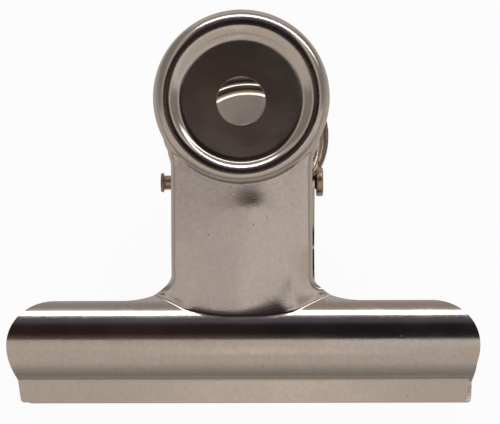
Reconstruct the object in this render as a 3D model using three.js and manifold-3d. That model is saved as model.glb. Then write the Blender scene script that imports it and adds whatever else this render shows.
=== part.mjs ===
// File clip: two identical pressed steel plates, a headed pin through their ears and a torsion
// spring wound round the pin. Millimetres, +Z up, lying on its back with the jaws towards -Y.
//
// Clip frame, before the clip is laid down: x runs along the jaw, u (local Y) from the lips up
// to the thumb discs, n (local Z) out of the front plate. The pin's axis is the origin.

import * as THREE from 'three';
import { mergeVertices } from 'three/addons/utils/BufferGeometryUtils.js';
import Module from 'manifold-3d';

const wasm = await Module();
wasm.setup();

const DEG = Math.PI / 180;

// Sheet and nesting of the two plates
const SHEET = 0.5; // thickness of the pressed steel
const EAR_CLEARANCE = 0.2; // side gap between the nested ears of the two plates
const LIP_GAP = 0.3; // gap between the closed lips
const PLATE_SHIFT = (SHEET + EAR_CLEARANCE) / 2; // each plate's step aside from the middle

// Jaw bar: part of a cylinder along x, ending in a straight lip
const JAW_WIDTH = 76;
const JAW_RADIUS = 9.35; // outside radius of the rolled bar
const JAW_AXIS_U = -26.1; // how far below the pin the bar's own axis lies
const BAR_TOP_ANGLE = 34 * DEG; // where the rolled bar starts, from the outward direction
const BAR_LIP_ANGLE = -51.5 * DEG; // where it turns into the lip
const LIP_LENGTH = 3.75;
const LIP_LEAN = 20 * DEG; // inward lean of the lip towards its edge
const BAR_END_RADIUS = 7.4; // rounded upper corners of the bar
const BAR_END_DROP = 7.5; // from the bar's top edge to its widest point
const LIP_SHORTER = 2.3; // how much less wide the lip is at each end
const LIP_TAPER = 0.4; // further narrowing along the lip
const LIP_CORNER = 0.7;

// Shank: flat web with turned sides that carry the ears
const SHANK_WIDTH = 22.7;
const CREASE_ANGLE = 15 * DEG; // where the web leaves the bar
const SHANK_LEAN = 12.6 * DEG;
const SIDE_BEND = 1.5; // outside radius between the web and its turned sides
const FLARE_WIDE = 5.6; // sideways reach of the rounded corners above the bar
const FLARE_TALL = 3.4;
const NECK_FILLET = 8; // outline radius between the shank and the disc
const FLARE_BEND_X = 5.6; // where the web starts to fall back at the crease
const FLARE_SLOPE = 0.27;
const FLARE_REACH = 5; // height over which the side bend widens into the flare

// Thumb disc: raised bead round a dish with a hang hole
const DISC_RADIUS = 14.2;
const DISC_U = 10.5; // height of the disc's centre above the pin
const DISC_N = 13.4; // how far out from the pin its crest plane stands there
const DISC_LEAN = 9.4 * DEG;
const CREST_OUTER = 12.15;
const CREST_INNER = 11.6;
const DISH_RADIUS = 9.6;
const DISH_DEPTH = 1.6;
const RIM_DEPTH = 3.2; // how far the rim is turned back behind the crest
const HANG_HOLE_RADIUS = 3.95;

// Ears and pin
const EAR_RADIUS = 3.4; // rounded end of the ear about the pin
const EAR_FOOT = { u: -10.5, n: 4 }; // lower end of the ear on the turned side
const SIDE_BACK = { u: -14, n: 4.3 }; // back edge of the turned side below the ear
const SIDE_LOW = { u: -20.4, n: 3.4 }; // back edge where the side runs out on the bar
const PIN_RADIUS = 1.2;
const PIN_CLEARANCE = 0.15; // radial play of the pin in the ears
const HEAD_RADIUS = 2.43;
const HEAD_THICK = 1.15;
const HEAD_GAP = 0.34; // play between the head and the ear beside it
const HEAD_EDGE = 0.25;
const FLARE_RADIUS = 1.68;
const FLARE_THICK = 0.49;
const FLARE_GAP = 1.78; // play left at the flared end
const TUBE_RADIUS = 0.7; // hollow in the flared end
const TUBE_DEPTH = 1.8;

// Torsion spring
const WIRE = 1.5;
const COIL_RADIUS = 3; // mean radius of the coil
const COIL_TURNS = 9; // whole turns, less the angle left between the legs
const TURN_GAP = 0.5; // gap between neighbouring turns
const LEG_GAP = 0.3; // gap between a leg and the plate it presses on
const LEG_BEND_BELOW = 4.2; // where the leg bends, below the disc's centre
const LEG_TIP = 5.5; // straight length that lies along the dish
const LEG_BEND_RADIUS = 2;

// How finely the solids are faceted
const DISC_SEGMENTS = 48;
const BEAD_STEPS = 4;
const BAR_STEPS = 12;
const WEB_COLUMNS = 16;
const WEB_ROWS = 22;
const PIN_SEGMENTS = 24;
const COIL_STEPS = 8;
const WIRE_SIDES = 5;
const BEND_STEPS = 3;
const FAR = 60; // longer than any part, for cutting bodies

// Where the jaw bar's axis lies, so that the closed lips keep their gap
const tipN = LIP_GAP / 2 + SHEET / Math.cos(LIP_LEAN);
const lipTopN = tipN + LIP_LENGTH * Math.sin(LIP_LEAN);
const JAW_AXIS_N = lipTopN - JAW_RADIUS * Math.cos(BAR_LIP_ANGLE);

// A point of the bar's section, by its angle from the outward direction and its depth
function barPoint(angle, depth = 0) {
  const radius = JAW_RADIUS - depth;
  return new THREE.Vector2(JAW_AXIS_U + radius * Math.sin(angle), JAW_AXIS_N + radius * Math.cos(angle));
}

const barTop = barPoint(BAR_TOP_ANGLE);
const crease = barPoint(CREASE_ANGLE);
const lipTop = barPoint(BAR_LIP_ANGLE);
const lipEdge = new THREE.Vector2(
  lipTop.x - LIP_LENGTH * Math.cos(LIP_LEAN),
  lipTop.y - LIP_LENGTH * Math.sin(LIP_LEAN)
);

// Outline of the shank: its half width at height u, with the flare below and the neck above
const halfShank = SHANK_WIDTH / 2;
const flareTop = barTop.x + FLARE_TALL;
const neckCentreX = halfShank + NECK_FILLET;
const neckReach = DISC_RADIUS + NECK_FILLET;
const neckCentreU = DISC_U - Math.sqrt(neckReach ** 2 - neckCentreX ** 2);
const neckTop = DISC_U + (neckCentreU - DISC_U) * DISC_RADIUS / neckReach;
const rimBack = DISC_N + (neckTop - DISC_U) * Math.tan(DISC_LEAN) - RIM_DEPTH / Math.cos(DISC_LEAN);
const neckBack = rimBack - SIDE_BEND;
const webTop = Math.max(neckTop, EAR_RADIUS); // the web's block also holds the whole ears

function shankHalfWidth(u, necked) {
  if (necked && u > neckCentreU) {
    const rise = Math.min(u, neckTop) - neckCentreU;
    return neckCentreX - Math.sqrt(NECK_FILLET ** 2 - rise ** 2);
  }
  if (u < flareTop) {
    const fall = Math.min((flareTop - u) / FLARE_TALL, 1);
    return halfShank + FLARE_WIDE * (1 - Math.sqrt(1 - fall ** 2));
  }
  return halfShank;
}

// Height of the web's outer face: a plane that rounds off at the sides and, near the bar,
// falls back in a wide soft bend, down to the height of the bar's top edge
function webHeight(x, u, necked) {
  const plane = crease.y + (u - crease.x) * Math.tan(SHANK_LEAN);
  const width = shankHalfWidth(u, necked);
  const across = THREE.MathUtils.clamp((Math.abs(x) - width + SIDE_BEND) / SIDE_BEND, 0, 1);
  const rounding = SIDE_BEND * (1 - Math.sqrt(1 - across ** 2));
  const flared = 1 - THREE.MathUtils.smoothstep(u, barTop.x, flareTop + FLARE_REACH);
  const slope = FLARE_SLOPE * Math.max(Math.abs(x) - FLARE_BEND_X, 0);
  const fallBack = Math.min(slope, Math.max(plane - barTop.y, 0));
  return plane - rounding * (1 - flared) - fallBack * flared;
}

// Solids from three.js geometry, and back again
function toSolid(geometry) {
  const bare = geometry.index ? geometry.toNonIndexed() : geometry.clone();
  bare.deleteAttribute('normal');
  bare.deleteAttribute('uv');
  const merged = mergeVertices(bare, 1e-5);
  const mesh = new wasm.Mesh({
    numProp: 3,
    vertProperties: new Float32Array(merged.attributes.position.array),
    triVerts: new Uint32Array(merged.index.array)
  });
  mesh.merge();
  return new wasm.Manifold(mesh);
}

function toGeometry(solid) {
  const mesh = solid.getMesh();
  const geometry = new THREE.BufferGeometry();
  geometry.setAttribute('position', new THREE.BufferAttribute(new Float32Array(mesh.vertProperties), 3));
  geometry.setIndex(new THREE.BufferAttribute(new Uint32Array(mesh.triVerts), 1));
  geometry.computeVertexNormals();
  return geometry;
}

// A section drawn in (u, n), extruded along x by the given width about the middle
function alongX(shape, width) {
  const geometry = new THREE.ExtrudeGeometry(shape, { depth: width, bevelEnabled: false, curveSegments: 8 });
  geometry.translate(0, 0, -width / 2);
  geometry.applyMatrix4(new THREE.Matrix4().makeBasis(
    new THREE.Vector3(0, 1, 0),
    new THREE.Vector3(0, 0, 1),
    new THREE.Vector3(1, 0, 0)
  ));
  return toSolid(geometry);
}

// An outline drawn in (x, u), extruded through the plate along n
function throughPlate(shape) {
  const geometry = new THREE.ExtrudeGeometry(shape, { depth: 2 * FAR, bevelEnabled: false, curveSegments: 8 });
  geometry.translate(0, 0, -FAR);
  return toSolid(geometry);
}

// A solid of revolution about the disc's own axis, from a profile in (radius, height)
function aboutDisc(profile) {
  const geometry = new THREE.LatheGeometry(profile, DISC_SEGMENTS);
  geometry.rotateX(Math.PI / 2);
  geometry.rotateX(DISC_LEAN);
  geometry.translate(0, DISC_U, DISC_N);
  return toSolid(geometry);
}

// The disc's pressed face, set back by depth, from the dish outwards, then its back at height back
function discProfile(depth, back) {
  const beadRadius = DISC_RADIUS - CREST_OUTER;
  const profile = [
    new THREE.Vector2(0, back),
    new THREE.Vector2(DISC_RADIUS - depth, back)
  ];
  for (let i = 0; i <= BEAD_STEPS; i++) {
    const angle = (Math.PI / 2) * (i / BEAD_STEPS);
    profile.push(new THREE.Vector2(
      CREST_OUTER + (beadRadius - depth) * Math.cos(angle),
      -beadRadius + (beadRadius - depth) * Math.sin(angle)
    ));
  }
  const slope = Math.atan2(DISH_DEPTH, CREST_INNER - DISH_RADIUS);
  const inset = depth * Math.tan(slope / 2);
  profile.push(new THREE.Vector2(CREST_INNER + inset, -depth));
  profile.push(new THREE.Vector2(DISH_RADIUS + inset, -DISH_DEPTH - depth));
  profile.push(new THREE.Vector2(0, -DISH_DEPTH - depth));
  return profile;
}

// A long cylinder along the disc's axis
function discCore(radius) {
  return aboutDisc([
    new THREE.Vector2(0, -FAR),
    new THREE.Vector2(radius, -FAR),
    new THREE.Vector2(radius, FAR),
    new THREE.Vector2(0, FAR)
  ]);
}

// The web and its turned sides as a filled block, set in by inset on its top and sides. Only a
// necked block widens to the disc: the ears stay flat
function webBlock(inset, low, top, bottom, necked) {
  const geometry = new THREE.BoxGeometry(2, 1, 1, WEB_COLUMNS, WEB_ROWS, 1);
  const position = geometry.attributes.position;
  for (let i = 0; i < position.count; i++) {
    const across = Math.sin(position.getX(i) * Math.PI / 2);
    const u = THREE.MathUtils.lerp(low, top, position.getY(i) + 0.5);
    const width = shankHalfWidth(u, necked);
    const upper = webHeight(across * width, u, necked) - inset;
    position.setXYZ(i, across * (width - inset), u, position.getZ(i) > 0 ? upper : bottom);
  }
  return toSolid(geometry);
}

// The bar's section and lip as a path at a given depth below the outer face
function jawPath(depth, beyond) {
  const path = [];
  for (let i = 0; i <= BAR_STEPS; i++) {
    path.push(barPoint(THREE.MathUtils.lerp(BAR_TOP_ANGLE, BAR_LIP_ANGLE, i / BAR_STEPS), depth));
  }
  const inward = new THREE.Vector2(Math.sin(LIP_LEAN), -Math.cos(LIP_LEAN));
  const turn = -BAR_LIP_ANGLE - LIP_LEAN;
  path.pop();
  path.push(barPoint(BAR_LIP_ANGLE).addScaledVector(inward, depth)
    .add(new THREE.Vector2(Math.cos(LIP_LEAN), Math.sin(LIP_LEAN)).multiplyScalar(depth * Math.tan(turn / 2))));
  path.push(lipEdge.clone().addScaledVector(inward, depth)
    .add(new THREE.Vector2(-Math.cos(LIP_LEAN), -Math.sin(LIP_LEAN)).multiplyScalar(beyond)));
  return path;
}

// Front outline of the jaw: rounded upper corners, ends that narrow to the lip
function jawOutline() {
  const half = JAW_WIDTH / 2;
  const widest = barTop.x - BAR_END_DROP;
  const lipHalf = half - LIP_SHORTER;
  const edgeHalf = lipHalf - LIP_TAPER;
  const shape = new THREE.Shape();
  shape.moveTo(-half + BAR_END_RADIUS, barTop.x + SHEET);
  shape.lineTo(-half + BAR_END_RADIUS, barTop.x);
  shape.absellipse(-half + BAR_END_RADIUS, widest, BAR_END_RADIUS, BAR_END_DROP, Math.PI / 2, Math.PI, false);
  shape.quadraticCurveTo(-half, (widest + lipTop.x) / 2, -lipHalf, lipTop.x);
  shape.lineTo(-edgeHalf, lipEdge.x + LIP_CORNER);
  shape.quadraticCurveTo(-edgeHalf, lipEdge.x, -edgeHalf + LIP_CORNER, lipEdge.x);
  shape.lineTo(-edgeHalf + LIP_CORNER, lipEdge.x - 2 * SHEET);
  shape.lineTo(edgeHalf - LIP_CORNER, lipEdge.x - 2 * SHEET);
  shape.lineTo(edgeHalf - LIP_CORNER, lipEdge.x);
  shape.quadraticCurveTo(edgeHalf, lipEdge.x, edgeHalf, lipEdge.x + LIP_CORNER);
  shape.lineTo(lipHalf, lipTop.x);
  shape.quadraticCurveTo(half, (widest + lipTop.x) / 2, half, widest);
  shape.absellipse(half - BAR_END_RADIUS, widest, BAR_END_RADIUS, BAR_END_DROP, 0, Math.PI / 2, false);
  shape.lineTo(half - BAR_END_RADIUS, barTop.x + SHEET);
  return shape;
}

// Side view of what stays of the turned sides: back edge, ear and its rounded end. The ear stops
// where the neck begins to widen, and from there the back edge is level with the disc's rim
function earProfile() {
  const earTop = new THREE.Vector2(neckCentreU, rimBack);
  const foot = new THREE.Vector2(EAR_FOOT.u, EAR_FOOT.n);
  const from = foot.angle() + Math.acos(EAR_RADIUS / foot.length());
  const to = earTop.angle() - Math.acos(EAR_RADIUS / earTop.length());
  const shape = new THREE.Shape();
  shape.moveTo(crease.x - FAR, FAR);
  shape.lineTo(crease.x - FAR, SIDE_LOW.n);
  shape.lineTo(SIDE_LOW.u, SIDE_LOW.n);
  shape.lineTo(SIDE_BACK.u, SIDE_BACK.n);
  shape.lineTo(foot.x, foot.y);
  shape.lineTo(EAR_RADIUS * Math.cos(from), EAR_RADIUS * Math.sin(from));
  shape.absarc(0, 0, EAR_RADIUS, from, to + 2 * Math.PI, false);
  shape.lineTo(earTop.x, earTop.y);
  shape.lineTo(neckTop + SHEET, rimBack);
  shape.lineTo(neckTop + SHEET, FAR);
  return shape;
}

// One pressed plate. A filled body with the plate's outer face, less the same body set in by
// the sheet, leaves the sheet
function plateGeometry() {
  const lowWeb = crease.x - 2 * SHEET;
  const outerWeb = webBlock(0, lowWeb, webTop, -FAR / 2, false)
    .add(webBlock(0, neckCentreU, neckTop, neckBack, true))
    .intersect(alongX(earProfile(), 2 * JAW_WIDTH))
    .subtract(discCore(CREST_OUTER));
  const outerDisc = aboutDisc(discProfile(0, -RIM_DEPTH));
  const band = jawPath(0, 0).concat(jawPath(2 * SHEET, 0).reverse());
  const outerJaw = alongX(new THREE.Shape(band), 2 * JAW_WIDTH).intersect(throughPlate(jawOutline()));

  const innerWeb = webBlock(SHEET, lowWeb - SHEET, webTop + SHEET, -FAR, false)
    .add(webBlock(SHEET, neckCentreU, neckTop - SHEET, neckBack - SHEET, true))
    .subtract(discCore(CREST_OUTER - SHEET / 2));
  const innerDisc = aboutDisc(discProfile(SHEET, -RIM_DEPTH - SHEET));
  const innerBottom = [
    new THREE.Vector2(lipEdge.x - 2 * SHEET, -JAW_RADIUS),
    new THREE.Vector2(barTop.x - SHEET * Math.sin(BAR_TOP_ANGLE), -JAW_RADIUS)
  ];
  const innerJaw = alongX(new THREE.Shape(jawPath(SHEET, SHEET).concat(innerBottom)), 3 * JAW_WIDTH);

  const pinHole = new THREE.CylinderGeometry(
    PIN_RADIUS + PIN_CLEARANCE, PIN_RADIUS + PIN_CLEARANCE, 2 * SHANK_WIDTH, PIN_SEGMENTS
  );
  pinHole.rotateZ(Math.PI / 2);

  return toGeometry(
    outerDisc.add(outerWeb).add(outerJaw)
      .subtract(innerDisc)
      .subtract(innerWeb)
      .subtract(innerJaw)
      .subtract(toSolid(pinHole))
      .subtract(discCore(HANG_HOLE_RADIUS))
  );
}

// The pin, along x: domed-edge head at +x, flared hollow end at -x
function pinGeometry() {
  const earFace = halfShank + PLATE_SHIFT;
  const headInner = earFace + HEAD_GAP;
  const headOuter = headInner + HEAD_THICK;
  const flareInner = -earFace - FLARE_GAP;
  const flareOuter = flareInner - FLARE_THICK;
  const profile = [
    new THREE.Vector2(0, flareOuter + TUBE_DEPTH),
    new THREE.Vector2(TUBE_RADIUS, flareOuter + TUBE_DEPTH),
    new THREE.Vector2(TUBE_RADIUS, flareInner),
    new THREE.Vector2(PIN_RADIUS, flareOuter),
    new THREE.Vector2(FLARE_RADIUS, flareOuter),
    new THREE.Vector2(FLARE_RADIUS, flareInner),
    new THREE.Vector2(PIN_RADIUS, flareInner),
    new THREE.Vector2(PIN_RADIUS, headInner),
    new THREE.Vector2(HEAD_RADIUS - HEAD_EDGE, headInner),
    new THREE.Vector2(HEAD_RADIUS, headInner + HEAD_EDGE),
    new THREE.Vector2(HEAD_RADIUS, headOuter - HEAD_EDGE),
    new THREE.Vector2(HEAD_RADIUS - HEAD_EDGE, headOuter),
    new THREE.Vector2(0, headOuter)
  ];
  const geometry = new THREE.LatheGeometry(profile, PIN_SEGMENTS);
  geometry.rotateZ(-Math.PI / 2);
  return geometry;
}

// Half of the spring's leg path in the (u, n) plane: from the coil's tangent point to the tip
// that lies along the back of the dish
function legPath() {
  const depth = DISH_DEPTH + SHEET + LEG_GAP + WIRE / 2;
  const along = new THREE.Vector2(Math.cos(DISC_LEAN), Math.sin(DISC_LEAN));
  const out = new THREE.Vector2(-Math.sin(DISC_LEAN), Math.cos(DISC_LEAN));
  const corner = new THREE.Vector2(DISC_U, DISC_N)
    .addScaledVector(along, -LEG_BEND_BELOW)
    .addScaledVector(out, -depth);
  const rise = corner.angle() - Math.asin(COIL_RADIUS / corner.length());
  const start = new THREE.Vector2(-Math.sin(rise), Math.cos(rise)).multiplyScalar(COIL_RADIUS);
  const turn = rise - DISC_LEAN;
  const trim = LEG_BEND_RADIUS * Math.tan(turn / 2);
  const path = [start];
  const centre = corner.clone()
    .addScaledVector(along, trim)
    .addScaledVector(out, -LEG_BEND_RADIUS);
  for (let i = 0; i <= BEND_STEPS; i++) {
    const angle = Math.PI / 2 + THREE.MathUtils.lerp(rise, DISC_LEAN, i / BEND_STEPS);
    path.push(centre.clone().add(
      new THREE.Vector2(Math.cos(angle), Math.sin(angle)).multiplyScalar(LEG_BEND_RADIUS)
    ));
  }
  path.push(corner.clone().addScaledVector(along, LEG_TIP));
  return { path, startAngle: start.angle() };
}

// Centre line of the whole spring: rear leg, coil, front leg
function springPath() {
  const { path: leg, startAngle } = legPath();
  const sweep = 2 * Math.PI * COIL_TURNS - 2 * startAngle;
  const turns = sweep / (2 * Math.PI);
  const length = turns * (WIRE + TURN_GAP);
  const steps = Math.ceil(turns * COIL_STEPS);
  const points = [];
  for (let i = leg.length - 1; i > 0; i--) {
    points.push(new THREE.Vector3(-length / 2, leg[i].x, -leg[i].y));
  }
  for (let i = 0; i <= steps; i++) {
    const angle = -startAngle - sweep * (i / steps);
    points.push(new THREE.Vector3(
      length * (i / steps - 0.5),
      COIL_RADIUS * Math.cos(angle),
      COIL_RADIUS * Math.sin(angle)
    ));
  }
  for (let i = 1; i < leg.length; i++) {
    points.push(new THREE.Vector3(length / 2, leg[i].x, leg[i].y));
  }
  return points;
}

// Least gap between stretches of the wire that are more than half a turn apart along it
function leastOwnGap(points) {
  const along = [0];
  for (let i = 1; i < points.length; i++) {
    along.push(along[i - 1] + points[i].distanceTo(points[i - 1]));
  }
  let least = Infinity;
  for (let i = 0; i < points.length; i++) {
    for (let j = i + 1; j < points.length; j++) {
      if (along[j - 1] - along[i] > Math.PI * COIL_RADIUS) {
        const stretch = new THREE.Line3(points[j - 1], points[j]);
        const nearest = stretch.closestPointToPoint(points[i], true, new THREE.Vector3());
        least = Math.min(least, nearest.distanceTo(points[i]) - WIRE);
      }
    }
  }
  return least;
}

function springGeometry() {
  const points = springPath();
  console.log(`least gap of the spring to itself: ${leastOwnGap(points).toFixed(3)} mm`);
  const axis = new THREE.Vector3(1, 0, 0);
  const vertices = [];
  const last = points.length - 1;
  points.forEach((point, i) => {
    const tangent = points[Math.min(i + 1, last)].clone().sub(points[Math.max(i - 1, 0)]).normalize();
    const side = new THREE.Vector3().crossVectors(tangent, axis).normalize();
    const other = new THREE.Vector3().crossVectors(tangent, side);
    for (let k = 0; k < WIRE_SIDES; k++) {
      const angle = 2 * Math.PI * k / WIRE_SIDES;
      vertices.push(...point.clone()
        .addScaledVector(side, WIRE / 2 * Math.cos(angle))
        .addScaledVector(other, WIRE / 2 * Math.sin(angle))
        .toArray());
    }
  });
  const faces = [];
  for (let i = 0; i < last; i++) {
    for (let k = 0; k < WIRE_SIDES; k++) {
      const a = i * WIRE_SIDES + k;
      const b = i * WIRE_SIDES + (k + 1) % WIRE_SIDES;
      faces.push(a, b, b + WIRE_SIDES, a, b + WIRE_SIDES, a + WIRE_SIDES);
    }
  }
  for (let k = 1; k < WIRE_SIDES - 1; k++) {
    faces.push(0, k + 1, k);
    faces.push(last * WIRE_SIDES, last * WIRE_SIDES + k, last * WIRE_SIDES + k + 1);
  }
  const geometry = new THREE.BufferGeometry();
  geometry.setAttribute('position', new THREE.Float32BufferAttribute(vertices, 3));
  geometry.setIndex(faces);
  geometry.computeVertexNormals();
  return geometry;
}

// How far the closed clip leans when it lies on the rear bar and the rear disc's bead: the
// common tangent of the bar's circle and the bead's rounding
function lyingLean() {
  const beadRadius = DISC_RADIUS - CREST_OUTER;
  const beadU = DISC_U + CREST_OUTER * Math.cos(DISC_LEAN) + beadRadius * Math.sin(DISC_LEAN);
  const beadN = DISC_N + CREST_OUTER * Math.sin(DISC_LEAN) - beadRadius * Math.cos(DISC_LEAN);
  const apart = new THREE.Vector2(beadU - JAW_AXIS_U, beadN - JAW_AXIS_N);
  return apart.angle() + Math.asin((beadRadius - JAW_RADIUS) / apart.length());
}

const steel = new THREE.MeshStandardMaterial({ color: 0xa9a298, roughness: 0.18, metalness: 1 });
const pinSteel = new THREE.MeshStandardMaterial({ color: 0x8a7462, roughness: 0.3, metalness: 1 });
const springSteel = new THREE.MeshStandardMaterial({ color: 0x6f6a64, roughness: 0.35, metalness: 1 });

function named(name, geometry, material) {
  const mesh = new THREE.Mesh(geometry, material);
  mesh.name = name;
  return mesh;
}

const clip = new THREE.Group();
const plate = plateGeometry();

const frontPlate = named('front_jaw_plate', plate, steel);
frontPlate.position.x = -PLATE_SHIFT;
clip.add(frontPlate);

const rearPlate = named('rear_jaw_plate', plate, steel);
rearPlate.position.x = PLATE_SHIFT;
rearPlate.rotation.y = Math.PI;
clip.add(rearPlate);

clip.add(named('pivot_pin', pinGeometry(), pinSteel));
clip.add(named('torsion_spring', springGeometry(), springSteel));

// Lay the clip on its back, with the middle of its base at the origin
const group = new THREE.Group();
group.add(clip);
clip.rotation.x = lyingLean();
const box = new THREE.Box3().setFromObject(group, true);
clip.position.set(-(box.min.x + box.max.x) / 2, -(box.min.y + box.max.y) / 2, -box.min.z);
console.log(`lying lean ${(lyingLean() / DEG).toFixed(3)} degrees, pin axis at`, clip.position.toArray());
console.log('extents', box.getSize(new THREE.Vector3()).toArray());

export default group;
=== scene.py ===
"""File clip: two pressed, nickel-plated steel plates that turn on a headed pin, pushed shut by a
torsion spring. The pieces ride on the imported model's bodies and stand for its plain solids.

Shapes are worked out in the clip's own frame: x runs along the jaw, u from the lips up to the
thumb disc and n out of the front plate, with the pin's axis at the origin. lay_down() turns
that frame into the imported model's, where the clip lies on its back. Lengths are in metres.
"""

import math

import bmesh
import bpy
import numpy as np
from bpy.props import FloatProperty, FloatVectorProperty, PointerProperty
from mathutils import Matrix


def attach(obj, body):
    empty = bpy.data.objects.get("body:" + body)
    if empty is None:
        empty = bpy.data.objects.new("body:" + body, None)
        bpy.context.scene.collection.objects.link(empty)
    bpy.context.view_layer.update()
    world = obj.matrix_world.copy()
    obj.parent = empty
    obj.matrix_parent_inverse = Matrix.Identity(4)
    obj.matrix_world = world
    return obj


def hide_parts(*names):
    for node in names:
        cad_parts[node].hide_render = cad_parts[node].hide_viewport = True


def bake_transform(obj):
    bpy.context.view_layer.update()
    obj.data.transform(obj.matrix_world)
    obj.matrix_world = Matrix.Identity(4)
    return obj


bl_info = {
    "name": "File Clip",
    "version": (1, 0, 0),
    "blender": (4, 5, 0),
    "location": "View3D > Sidebar > File Clip",
    "description": "Builds a pressed steel file clip with a pin and a torsion spring",
    "category": "Add Mesh",
}

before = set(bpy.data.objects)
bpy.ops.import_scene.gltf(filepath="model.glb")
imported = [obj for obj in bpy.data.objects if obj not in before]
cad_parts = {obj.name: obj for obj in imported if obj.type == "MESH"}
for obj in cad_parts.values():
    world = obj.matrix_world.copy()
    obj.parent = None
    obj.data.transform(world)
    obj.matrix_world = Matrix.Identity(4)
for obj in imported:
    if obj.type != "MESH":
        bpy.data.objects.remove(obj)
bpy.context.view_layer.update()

MM = 0.001
WELD = 0.002 * MM  # points of one piece that are closer than this become one


def length(name, description, millimetres):
    """A length property whose default is given in millimetres."""
    return FloatProperty(
        name=name, description=description, default=millimetres * MM, unit="LENGTH", precision=5
    )


def turn(name, description, degrees):
    """An angle property whose default is given in degrees."""
    return FloatProperty(
        name=name, description=description, default=math.radians(degrees), subtype="ANGLE"
    )


def colour(name, description, value):
    """A colour property without alpha."""
    return FloatVectorProperty(
        name=name, description=description, default=value, subtype="COLOR", min=0, max=1
    )


class ClipJawSizes(bpy.types.PropertyGroup):
    """Sizes of the rolled jaw bar and its lip"""

    width: length("Jaw width", "Length of the bar, side to side", 75.86)
    aside: length("Jaw aside", "How far the jaw's middle lies from the shank's", 0.12)
    rear_aside: length("Rear jaw aside", "The same for the rear plate, to the same side", 0.45)
    radius: length("Bar radius", "Outside radius of the rolled bar", 9.35)
    axis_u: length("Bar below pin", "How far the bar's own axis lies below the pin", -26.1)
    top_angle: turn("Top angle", "Where the rolled bar starts, from the outward direction", 34)
    lip_angle: turn("Lip angle", "Where the bar turns into the lip", -51.5)
    lip_length: length("Lip length", "Straight length of the lip", 3.75)
    lip_lean: turn("Lip lean", "Inward lean of the lip towards its edge", 20)
    lip_gap: length("Lip gap", "Gap between the closed lips", 0.3)
    end_radius: length("End radius", "Width of the bar's rounded upper corners", 7.4)
    end_drop: length("End drop", "Height of the bar's rounded upper corners", 7.5)
    lip_shorter: length("Lip shorter", "How much less wide the lip is at each end", 1.53)
    lip_taper: length("Lip taper", "Further narrowing along the lip", 0.45)
    lip_corner: length("Lip corner", "Radius of the lip's corners", 0.5)
    lip_crease: length("Lip crease", "Softness of the line between bar and lip", 0.24)


class ClipShankSizes(bpy.types.PropertyGroup):
    """Sizes of the sheet, the shank, its turned sides and its ears"""

    sheet: length("Sheet", "Thickness of the pressed steel", 0.5)
    edge: length("Edge rounding", "Rounding of the cut edges of the sheet", 0.07)
    shift: length("Side step", "Each plate's step aside from the middle", 0.27)
    width: length("Shank width", "Width over the turned sides", 22.9)
    bend: length("Side bend", "Outside radius between the web and its turned sides", 1.5)
    crease_angle: turn("Crease angle", "Where the web leaves the bar", 15)
    lean: turn("Shank lean", "Outward lean of the web towards the disc", 12.6)
    crease_soft: length("Crease softness", "Softness of the line between web and bar", 0.07)
    flare_wide: length("Flare width", "Sideways reach of the rounded corners above the bar", 8.0)
    flare_tall: length("Flare height", "Height of the rounded corners above the bar", 4.6)
    flare_reach: length("Flare reach", "Height over which the side bend opens into the flare", 5)
    fall: length("Fall", "Distance from the middle where the web has fallen back 1 mm", 9.84)
    swell: length("Swelling", "Height of the low swellings in the web", 0.14)
    swell_u: length("Swelling below pin", "Where they lie", -7.1)
    foot: turn("Web foot", "How far the web turns up where it meets the bar", 8.5)
    foot_reach: length("Web foot reach", "Height over which it turns, on the left", 2.2)
    foot_spread: length("Web foot spread", "How much further that reaches on the right", 4.8)
    neck: length("Neck fillet", "Outline radius between the shank and the disc", 8)
    ear_radius: length("Ear radius", "Rounded end of the ear about the pin", 3.4)
    ear_hole: length("Ear hole", "Radius of the hole for the pin", 1.35)
    foot_u: length("Ear foot below pin", "Lower end of the ear", -10.5)
    foot_n: length("Ear foot depth", "Depth of the ear's lower end", 4)
    side_u: length("Side below pin", "Corner of the side's back edge below the ear", -14)
    side_n: length("Side depth", "Depth of that corner", 4.3)
    end_u: length("Side end", "Where the side's back edge runs out on the bar", -20.4)
    end_n: length("Side end depth", "Depth of the back edge there", 3.4)


class ClipDiscSizes(bpy.types.PropertyGroup):
    """Sizes of the thumb disc"""

    radius: length("Disc radius", "Outside radius of the disc", 14.36)
    centre_u: length("Disc above pin", "Height of the disc's centre above the pin", 10.95)
    centre_n: length("Disc outwards", "How far out the disc's crest plane stands", 13.38)
    lean: turn("Disc lean", "Outward lean of the disc", 9.4)
    crest: length("Crest radius", "Radius where the crest turns into the bead", 12.3)
    drop: length("Drop", "How far the pressed face's middle lies below the rim's", 0.5)
    hole_drop: length("Hole drop", "How much further below it the hole's middle lies", 0.33)
    crest_width: length("Crest width", "Width of the level crest", 0.15)
    dish: length("Dish radius", "Radius of the flat dish", 9.4)
    depth: length("Dish depth", "Depth of the dish below the crest", 0.85)
    wall: length("Wall radius", "Radius at the foot of the steep wall round the dish", 10.25)
    wall_width: length("Wall width", "Width of the steep wall, seen from the front", 0.7)
    shoulder: length("Shoulder radius", "Radius where the slope above the wall rounds off", 11.3)
    foot_slope: turn("Foot slope", "Slope at the foot of the wall", 17)
    shoulder_slope: turn("Shoulder slope", "Slope above the wall", 27)
    rim: length("Rim depth", "How far the rim is turned back behind the crest", 3.2)
    hole: length("Hang hole", "Radius of the hang hole", 3.95)
    edge: length("Hole edge", "Rounding of the hang hole's edges", 0.13)
    joint_soft: length("Bead joint", "Softness of the line between the bead and the web", 1.1)


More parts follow.
